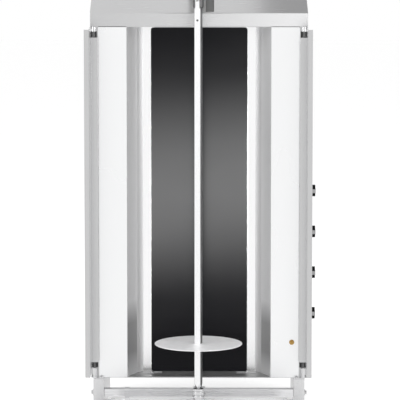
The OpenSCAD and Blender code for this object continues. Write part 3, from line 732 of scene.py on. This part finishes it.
def islands(node):
    """Box of each separate solid of a CAD node."""
    piece = copy_of(node, "scratch")
    only(piece)
    bpy.ops.mesh.separate(type="LOOSE")
    boxes = []
    for part in list(bpy.context.selected_objects):
        corners = [v.co for v in part.data.vertices]
        boxes.append((Vector(map(min, zip(*corners))), Vector(map(max, zip(*corners)))))
        discard(part)
    return boxes


# ---------------------------------------------------------------- fasteners

SCREW_R = 0.004
SCREW_H = 0.0024
RECESS_BAR = (0.0046, 0.0009, 0.0026)   # one bar of the cross recess


def pan_head_screw():
    """Pan head with a cross recess, drawn about the origin, its seat at z = 0."""
    begin()
    bpy.ops.mesh.primitive_cylinder_add(vertices=32, radius=SCREW_R, depth=SCREW_H,
                                        location=(0, 0, SCREW_H / 2))
    head = bpy.context.active_object
    freeze()
    edit(head, lambda centre, normal: normal.z > ALONG)
    bpy.ops.mesh.region_to_loop()
    bpy.ops.mesh.select_mode(type="EDGE")
    bpy.ops.mesh.bevel(offset=0.0011, segments=4, affect="EDGES", profile=0.5)
    bpy.ops.object.mode_set(mode="OBJECT")
    for turn in (0, math.pi / 2):
        begin()
        bpy.ops.mesh.primitive_cube_add(size=1, location=(0, 0, SCREW_H), rotation=(0, 0, turn),
                                        scale=RECESS_BAR)
        cut_away(head, bpy.context.active_object)
    return head


def facing(lo, hi):
    """The direction in which a flat fastener's head looks: away from the housing."""
    size = hi - lo
    thin = min(range(3), key=lambda i: size[i])
    middle_of_all = (cad_lo + cad_hi) / 2
    axis = Vector((0, 0, 0))
    axis[thin] = 1 if (lo + hi)[thin] / 2 > middle_of_all[thin] else -1
    return thin, axis


def housing_screws():
    head = pan_head_screw()
    parts = []
    for lo, hi in islands("panel_screws"):
        thin, axis = facing(lo, hi)
        if thin == 2:
            axis = Vector((0, 0, 1))
        seat = (lo + hi) / 2
        seat[thin] = lo[thin] if axis[thin] > 0 else hi[thin]
        parts.append(placed_copy(head, seat, axis))
    discard(head)
    screws = joined("housing_screws", parts)
    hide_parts("panel_screws")
    done(screws, "housing", FASTENER)


def cover_screws():
    """Screws that hold the motor cover on its plate."""
    head = pan_head_screw()
    lo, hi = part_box("motor_cover")
    parts = []
    for side, x in ((-1, lo.x), (1, hi.x)):
        for y in (lo.y + 0.016, hi.y - 0.016):
            parts.append(placed_copy(head, (x, y, lo.z + 0.009), (side, 0, 0)))
    for x in (lo.x + 0.02, hi.x - 0.02):
        parts.append(placed_copy(head, (x, hi.y, lo.z + 0.009), (0, 1, 0)))
    discard(head)
    done(joined("cover_screws", parts), "motor_carriage", FASTENER)


# ---------------------------------------------------------------- wings and hinges

PIN_IN = 0.0095     # the end of a pin that lies inside the wing, with no painted-shadow block behind it
PIN_Y = -9          # the pins' axis, in millimetres as for place()
WASHER_Z = (153.4, 988.3)   # undersides of the washers, in millimetres
WASHER_H = 0.0013


def hinge_pads():
    """Black blocks on the housing behind the hinge pins, clear of the open wings: painted shadow
    of the dark gap round the pins.
    """
    parts = []
    for side in ("left", "right"):
        upper_lo, upper_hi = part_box(f"upper_{side}_hinge")
        pin_x = (upper_lo.x + upper_hi.x) / 2
        for level in ("upper", "lower"):
            lo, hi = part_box(f"{level}_{side}_hinge")
            if level == "upper":
                bottom, top = lo.z + PIN_IN, hi.z - UPPER_LUG
            else:
                bottom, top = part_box(f"{side}_wing")[0].z - 0.0005, hi.z - PIN_IN
            parts.append(block("pad", (pin_x - 0.0085, hi.y - 0.0011, bottom),
                               (pin_x + 0.0075, hi.y - 0.0001, top), 0.0003))
    done(joined("hinge_pads", parts), "housing", BLACK_PLASTIC)


def hinge_washers():
    """Nylon washers on the pins, between the lugs and the wings' bearing plates."""
    parts = []
    for side in ("left", "right"):
        lo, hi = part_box(f"upper_{side}_hinge")
        x, y = (lo.x + hi.x) / 2, place(0, PIN_Y, 0).y
        for z in (place(0, 0, height).z for height in WASHER_Z):
            parts.append(rod("washer", (x, y, z), (x, y, z + WASHER_H), 0.0052, chamfer=0.0002))
    done(joined("hinge_washers", parts), "housing", GREY_PLASTIC)


# ---------------------------------------------------------------- housing details

def corner_seams():
    """Ground weld seams between the front panels and the sides."""
    parts = []
    for node, side in (("left_front_panel", -1), ("right_front_panel", 1)):
        lo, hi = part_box(node)
        x = HOUSING_X + side * ((hi - lo).x / 2 + abs((lo + hi).x / 2 - HOUSING_X))
        parts.append(block("seam", (x - 0.0009, lo.y - 0.0001, lo.z + 0.001),
                           (x + 0.0009, lo.y + 0.0012, hi.z - 0.001), 0.0001, 1))
    done(joined("corner_seams", parts), "housing", BRIGHT)


TAB_X = (96, 146)   # inner and outer end of a clip, in millimetres from the middle
TAB_Y = 48          # its front edge
TAB_DEPTH = 9


def floor_clips():
    """Bent tabs that hold the reflectors down on the recess floor, a screw in each."""
    head = pan_head_screw()
    parts = []
    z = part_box("recess_floor")[1].z
    for side in (-1, 1):
        inner, outer = (place(side * x, 0, 0).x for x in TAB_X)
        y = place(0, TAB_Y, 0).y
        tab = block("tab", (min(outer, inner), y, z + 0.0001),
                    (max(outer, inner), y + TAB_DEPTH / 1000, z + 0.0009), 0.0002)
        edit(tab, lambda centre, normal: normal.y > ALONG)
        bpy.ops.mesh.extrude_region_move(TRANSFORM_OT_translate={"value": (0, 0.0014, 0.0014)})
        bpy.ops.object.mode_set(mode="OBJECT")
        parts.append(tab)
        seat = place(side * sum(TAB_X) / 2, TAB_Y + TAB_DEPTH / 2, 0)
        parts.append(placed_copy(head, seat + Vector((0, 0, z + 0.0008))))
    discard(head)
    done(joined("floor_clips", parts), "housing", STEEL_ACROSS)


BACK_Y = 400        # outer face of the back panel, in millimetres


def gland_seal():
    """Rubber lip in the gland's mouth, and the flat seal behind its hexagon."""
    lo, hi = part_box("cable_gland")
    x, z = (lo.x + hi.x) / 2, (lo.z + hi.z) / 2
    lip = ring("lip", (x, hi.y - 0.0014, z), (0, 1, 0), 0.0069, 0.001)
    panel = place(0, BACK_Y, 0).y
    flat = rod("flat", (x, panel + 0.0001, z), (x, panel + 0.0012, z), 0.0152)
    done(joined("gland_seals", [lip, flat]), "housing", RUBBER)


BEAD_Z = (0.0022, 0.0052, 0.0082)   # heights of the beads on a foot


def foot_beads():
    """Moulded beads round the rubber feet, and the steel cups that they are pressed into."""
    beads, cups = [], []
    for lo, hi in islands("feet"):
        x, y = (lo.x + hi.x) / 2, (lo.y + hi.y) / 2
        radius = (hi.x - lo.x) / 2
        for z in BEAD_Z:
            beads.append(ring("bead", (x, y, lo.z + z), (0, 0, 1), radius - 0.0002, 0.0005, 40, 8))
        cups.append(rod("cup", (x, y, hi.z - 0.0034), (x, y, hi.z - 0.0001), radius - 0.0012,
                        chamfer=0.0008))
    done(joined("foot_beads", beads), "housing", RUBBER)
    done(joined("foot_cups", cups), "housing", FASTENER)


WELD_PITCH = 0.0028
WELD_R = 0.0026


def weld_beads():
    """Overlapping weld puddles where the rear cross member meets the cheeks."""
    lo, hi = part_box("rear_cross_member")
    begin()
    bpy.ops.mesh.primitive_uv_sphere_add(segments=12, ring_count=8, radius=WELD_R)
    puddle = bpy.context.active_object
    edit(puddle)
    bpy.ops.transform.resize(value=(1, 1, 0.9), center_override=(0, 0, 0))
    bpy.ops.object.mode_set(mode="OBJECT")
    parts = []
    for x in (lo.x + 0.0006, hi.x - 0.0006):
        for y in (lo.y - 0.0003, hi.y + 0.0003):
            for step in range(int((hi.z - lo.z) / WELD_PITCH)):
                wobble = 0.0003 * math.sin(2.3 * step)
                z = lo.z + 0.002 + WELD_PITCH * step
                parts.append(placed_copy(puddle, (x + wobble, y, z)))
    discard(puddle)
    done(joined("weld_beads", parts), "housing", WELD)


ROLL_Y = -250.4     # the front roll of the tray, in millimetres
ROLL_R = 0.0018


def tray_rolls():
    """Rolled front and rear edges of the drip tray, with plain rounded ends."""
    lo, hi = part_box("drip_tray")
    parts = []
    for y in (place(0, ROLL_Y, 0).y, hi.y - 0.0022):
        parts.append(rod("roll", (lo.x + 0.03, y, hi.z + 0.0006), (hi.x - 0.03, y, hi.z + 0.0006),
                         ROLL_R, 20, 0.0007))
    done(joined("tray_rolls", parts), "drip_tray", BAR_STEEL)


# ---------------------------------------------------------------- motor carriage details

def lettering(text, size, depth):
    """A centred character as a thin mesh."""
    begin()
    bpy.ops.object.text_add()
    sign = bpy.context.active_object
    sign.data.body = text
    sign.data.size = size
    sign.data.extrude = depth
    sign.data.align_x = "CENTER"
    sign.data.align_y = "CENTER"
    bpy.ops.object.convert(target="MESH")
    return bpy.context.active_object


ROCKER_Y = -203     # the rocker's pivot, in millimetres
# Each mark on the rocker: its height above the middle, its distance ahead of the pivot, its tilt.
ROCKER_MARKS = {"I": (0.0055, 0.0073, 0.0), "O": (-0.006, 0.0085, 0.213)}


def switch_marks():
    """Bezel round the rocker, and the marks I and O on it."""
    lo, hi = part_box("motor_switch")
    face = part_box("motor_cover")[0].y
    bezel = block("switch_bezel", (lo.x - 0.0034, face - 0.0014, lo.z - 0.0034),
                  (hi.x + 0.0034, face - 0.0001, hi.z + 0.0034), 0.0006)
    cut_away(bezel, block("window", (lo.x - 0.0004, face - 0.003, lo.z - 0.0004),
                          (hi.x + 0.0004, face + 0.003, hi.z + 0.0004), 0.0004))
    done(bezel, "motor_carriage", BLACK_PLASTIC)
    parts = []
    centre = (lo + hi) / 2
    for mark, (rise, stand_out, tilt) in ROCKER_MARKS.items():
        sign = lettering(mark, 0.0085, 0.0001)
        sign.rotation_euler = (math.pi / 2 - tilt, 0, 0)
        sign.location = (centre.x, place(0, ROCKER_Y, 0).y - stand_out, centre.z + rise)
        freeze()
        parts.append(sign)
    done(joined("switch_marks", parts), "switch", WHITE_INK)


RIB_PITCH = 0.0055
RIB_R = 0.0069
CAP_R = 0.0078


def handle_details():
    """Ribs and end caps on the grip, and steel collars where its posts meet the bracket."""
    lo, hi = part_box("carriage_handle")
    z = (lo.z + hi.z) / 2
    y = hi.y - 0.007
    ribs = [ring("rib", ((lo.x + hi.x) / 2 + RIB_PITCH * step, y, z), (1, 0, 0), RIB_R, 0.0006,
                 32, 8) for step in range(-6, 7)]
    for x, side in ((lo.x, 1), (hi.x, -1)):
        ribs.append(rod("cap", (x + side * 0.0001, y, z), (x + side * 0.0035, y, z), CAP_R,
                        chamfer=0.0012, steps=3))
    done(joined("handle_ribs", ribs), "motor_carriage", BLACK_PLASTIC)
    collars = [rod("collar", (x, lo.y + 0.0002, z), (x, lo.y + 0.0028, z), CAP_R, chamfer=0.0006)
               for x in (lo.x + 0.007, hi.x - 0.007)]
    done(joined("handle_collars", collars), "motor_carriage", FASTENER)


DECK_Z = 1109       # flat top of the hood, in millimetres


def sleeve_key():
    """Ground filler in the sleeve's slot, from the spit's end up to the motor's shaft; its bright
    face is a painted highlight on the dark sleeve.
    """
    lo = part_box("coupling_sleeve")[0]
    top = place(0, 0, DECK_Z).z
    key = block("sleeve_key", (SPIT.x - KEY_HALF, lo.y + 0.0012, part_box("spit")[1].z + 0.0003),
                (SPIT.x + KEY_HALF, SPIT.y - 0.0080, top + 0.02), 0.0006)
    edit(key)
    bpy.ops.transform.rotate(value=SPIT_TURN, orient_axis="Z", center_override=SPIT)
    bpy.ops.object.mode_set(mode="OBJECT")
    done(key, "spit", BAR)


SLEEVE_R = 0.0135
SLEEVE_SCREW_Z = 1092                   # millimetres
SLEEVE_SCREW_TURNS = (70, 160, 250)     # degrees round the sleeve, clear of its slot


def sleeve_screws():
    """Socket set screws that grip the motor's shaft in the sleeve."""
    parts = []
    for turn in SLEEVE_SCREW_TURNS:
        out = Vector((math.cos(math.radians(turn)), math.sin(math.radians(turn)), 0))
        centre = Vector((SPIT.x, SPIT.y, place(0, 0, SLEEVE_SCREW_Z).z))
        screw = rod("screw", centre + out * (SLEEVE_R - 0.004), centre + out * (SLEEVE_R + 0.0006),
                    0.0032, 24, 0.0004)
        begin()
        bpy.ops.mesh.primitive_cylinder_add(
            vertices=6, radius=0.0015, depth=0.005, location=centre + out * (SLEEVE_R + 0.0008),
            rotation=out.to_track_quat("Z", "Y").to_euler())
        cut_away(screw, bpy.context.active_object)
        parts.append(screw)
    done(joined("sleeve_screws", parts), "spit", FASTENER)


# ---------------------------------------------------------------- knobs and their scales

GRIP_HALF = 0.0055      # half the width of the grip bar


def knob_parts(index):
    """Fluted black skirt, and a pale grip bar across it with a white pointer line."""
    node = f"knob_{index}"
    lo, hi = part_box(node)
    centre = (lo + hi) / 2

    def face_back(knob):
        """The skirt's face lies a little behind the grip bar's."""
        cut_away(knob, block("face", (hi.x - 0.0006, lo.y - 0.01, lo.z - 0.01),
                             (hi.x + 0.01, hi.y + 0.01, hi.z + 0.01)))

    rounded(node, 0.0005, 0.0003, 0.0003, shape=face_back)
    grip = block(f"{node}_grip", (hi.x - 0.0105, lo.y - 0.00005, centre.z - GRIP_HALF),
                 (hi.x - 0.0001, hi.y + 0.00005, centre.z + GRIP_HALF), 0.0009, 3)
    done(grip, node, GRIP)
    line = block(f"{node}_pointer", (hi.x - 0.0004, lo.y + 0.001, centre.z - 0.0006),
                 (hi.x, lo.y + 0.011, centre.z + 0.0006), 0.0001)
    done(line, node, WHITE_INK)


SCALE_STEPS = 7
SCALE_SWEEP = math.radians(270)
SCALE_R = 0.0205        # where the ticks begin
NUMBERS_OUT = 0.0085    # and how much further out the numbers stand


def knob_scale(index):
    """Printed ticks round a knob, and the numbers 0 to 3 beside the longer ones."""
    lo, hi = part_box(f"knob_{index}")
    centre = (lo + hi) / 2
    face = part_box(f"regulator_{index}")[1].x + 0.0015
    parts = []
    for step in range(SCALE_STEPS):
        angle = step / (SCALE_STEPS - 1) * SCALE_SWEEP
        out = Vector((0, -math.cos(angle), math.sin(angle)))
        long = step % 2 == 0
        tick = block("tick", (-0.00005, -0.0005, 0), (0.00012, 0.0005, 0.0042 if long else 0.0026),
                     0.00004, 1)
        tick.rotation_euler = (-math.atan2(out.y, out.z), 0, 0)
        tick.location = Vector((face, centre.y, centre.z)) + out * SCALE_R
        only(tick)
        freeze()
        parts.append(tick)
        if long:
            number = lettering(str(step // 2), 0.0062, 0.00006)
            number.rotation_euler = (math.pi / 2, 0, math.pi / 2)
            number.location = (Vector((face + 0.00006, centre.y, centre.z))
                               + out * (SCALE_R + NUMBERS_OUT))
            freeze()
            parts.append(number)
    done(joined(f"knob_{index}_scale", parts), "housing", BLACK_INK)


# ---------------------------------------------------------------- floor, world and lamps

FLOOR_SIZE = 24.0
SOFT_LEVEL = 0.7        # world's level for the light it gives
FLOOR_GLOW = 0.4        # lifts the floor to white in view
MIRRORED_FLOOR = 1.0    # the floor as metal and glass show it


def light_path_sum(tree, *names):
    """1 where the ray is one of the named kinds."""
    path = tree.nodes.new("ShaderNodeLightPath")
    total = path.outputs[names[0]]
    for name in names[1:]:
        add = tree.nodes.new("ShaderNodeMath")
        add.operation = "MAXIMUM"
        tree.links.new(total, add.inputs[0])
        tree.links.new(path.outputs[name], add.inputs[1])
        total = add.outputs[0]
    return total


def add_world():
    """White where it is seen or mirrored, and a plain grey level for the light it gives."""
    world = bpy.data.worlds.new("studio")
    world.use_nodes = True
    bpy.context.scene.world = world
    tree = world.node_tree
    seen = light_path_sum(tree, "Is Camera Ray", "Is Glossy Ray", "Is Transmission Ray")
    level = tree.nodes.new("ShaderNodeMapRange")
    level.inputs["To Min"].default_value = SOFT_LEVEL
    level.inputs["To Max"].default_value = 1.0
    tree.links.new(seen, level.inputs["Value"])
    background = tree.nodes["Background"]
    background.inputs["Color"].default_value = (1, 1, 1, 1)
    tree.links.new(level.outputs["Result"], background.inputs["Strength"])


def add_floor():
    """Pale floor: white in view with the oven's soft shadow, and plain where it is mirrored."""
    bpy.ops.mesh.primitive_plane_add(size=FLOOR_SIZE)
    floor = bpy.context.active_object
    floor.name = "floor"
    material = bpy.data.materials.new("studio floor")
    material.use_nodes = True
    tree = material.node_tree
    shader = tree.nodes["Principled BSDF"]
    shader.inputs["Base Color"].default_value = (0.8, 0.8, 0.8, 1)
    shader.inputs["Roughness"].default_value = 0.9
    glow = tree.nodes.new("ShaderNodeMapRange")
    glow.inputs["To Max"].default_value = FLOOR_GLOW
    tree.links.new(light_path_sum(tree, "Is Camera Ray"), glow.inputs["Value"])
    shader.inputs["Emission Color"].default_value = (1, 1, 1, 1)
    tree.links.new(glow.outputs["Result"], shader.inputs["Emission Strength"])
    mirrored = tree.nodes.new("ShaderNodeEmission")
    mirrored.inputs["Strength"].default_value = MIRRORED_FLOOR
    mix = tree.nodes.new("ShaderNodeMixShader")
    tree.links.new(light_path_sum(tree, "Is Glossy Ray"), mix.inputs[0])
    tree.links.new(shader.outputs[0], mix.inputs[1])
    tree.links.new(mirrored.outputs[0], mix.inputs[2])
    output = [n for n in tree.nodes if n.bl_idname == "ShaderNodeOutputMaterial"][0]
    tree.links.new(mix.outputs[0], output.inputs["Surface"])
    floor.data.materials.append(material)


def add_lamp(name, seat, aim, size, power):
    """Soft rectangular lamp, out of the camera's view."""
    data = bpy.data.lights.new(name, "AREA")
    data.shape = "RECTANGLE"
    data.size, data.size_y = size
    data.energy = power
    lamp = bpy.data.objects.new(name, data)
    lamp.location = seat
    lamp.rotation_euler = (Vector(aim) - Vector(seat)).to_track_quat("-Z", "Y").to_euler()
    lamp.visible_camera = False
    bpy.context.collection.objects.link(lamp)
    return lamp


GLASS_CARDS = (0.18, 0.31, 0.41, 0.5, 0.6)   # heights of the cards, small to large
GLASS_CARD_WIDTH = 2.4
GLASS_CARD_AHEAD = 1.4      # the first card is this far ahead of the glass
GLASS_CARD_GAP = 0.06       # and each further one stands this far ahead of the last
GLASS_CARD_Z = 0.41
GLASS_CARD_AIM_Z = 0.62
GLASS_CARD_LEVEL = 126
GLASS_CARD_TILT = math.radians(6)


def light_glass():
    """Low card in front that only the glass mirrors: its soft glow fades up and down."""
    only_glass = bpy.data.collections.new("lit by the front cards")
    only_glass.objects.link(nodes["glass_panel"])
    middle_x = (GLASS_LO.x + GLASS_HI.x) / 2
    for step, height in enumerate(GLASS_CARDS):
        y = GLASS_LO.y - GLASS_CARD_AHEAD - GLASS_CARD_GAP * step
        card = add_lamp(f"front card {step}", (middle_x, y, GLASS_CARD_Z),
                        (middle_x, GLASS_LO.y, GLASS_CARD_AIM_Z), (GLASS_CARD_WIDTH, height),
                        GLASS_CARD_LEVEL * height)
        card.rotation_euler.rotate_axis("Z", GLASS_CARD_TILT)
        card.light_linking.receiver_collection = only_glass


HOOD_CARD_X = 620       # millimetres right of the middle
HOOD_CARD_AHEAD = 3.0
HOOD_CARD_SIZE = (0.84, 1.2)
HOOD_CARD_POWER = 3.0
HOOD_SHADE = ((160, -420, 1450), (1100, 900, 1450))     # the grey card's corners, for place()
HOOD_SHADE_LEVEL = 0.52


def light_hood():
    """A bright card that the right of the hood's lip mirrors, and a grey one over its slope."""
    only_hood = bpy.data.collections.new("lit by the hood card")
    only_hood.objects.link(bpy.data.objects["hood_finished"])
    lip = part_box("hood")[0]
    x = place(HOOD_CARD_X, 0, 0).x
    card = add_lamp("hood card", (x, lip.y - HOOD_CARD_AHEAD, lip.z - 0.22),
                    (x, lip.y, lip.z + 0.02), HOOD_CARD_SIZE, HOOD_CARD_POWER)
    card.light_linking.receiver_collection = only_hood
    lo, hi = (place(*corner) for corner in HOOD_SHADE)
    bpy.ops.mesh.primitive_plane_add(size=1, location=(lo + hi) / 2, scale=(1, 1, 1))
    shade = bpy.context.active_object
    shade.name = "grey_card"
    shade.dimensions = (hi.x - lo.x, hi.y - lo.y, 0)
    freeze()
    grey = bpy.data.materials.new("grey card")
    grey.use_nodes = True
    grey.node_tree.nodes.clear()
    glow = grey.node_tree.nodes.new("ShaderNodeEmission")
    glow.inputs["Strength"].default_value = HOOD_SHADE_LEVEL
    output = grey.node_tree.nodes.new("ShaderNodeOutputMaterial")
    grey.node_tree.links.new(glow.outputs[0], output.inputs["Surface"])
    shade.data.materials.append(grey)
    for ray in ("camera", "diffuse", "shadow", "transmission", "volume_scatter"):
        setattr(shade, f"visible_{ray}", False)


def add_lights():
    """Three softboxes, and the cards before the glass."""
    centre = (0, 0, 0.6)
    add_lamp("top softbox", (0, -0.6, 3.2), centre, (2.4, 2.0), 45).visible_glossy = False
    add_lamp("left softbox", (-2.9, -1.4, 1.5), centre, (1.6, 2.2), 30)
    add_lamp("right softbox", (2.6, -2.0, 1.5), centre, (1.6, 2.2), 22)
    light_glass()


bpy.context.scene.view_settings.view_transform = "Standard"
add_camera()
add_world()
add_floor()
add_lights()
dress_nodes()
round_nodes()
light_hood()
housing_screws()
cover_screws()
hinge_pads()
hinge_washers()
corner_seams()
floor_clips()
gland_seal()
foot_beads()
weld_beads()
tray_rolls()
switch_marks()
handle_details()
sleeve_key()
sleeve_screws()
for number in range(1, 5):
    knob_parts(number)
    knob_scale(number)
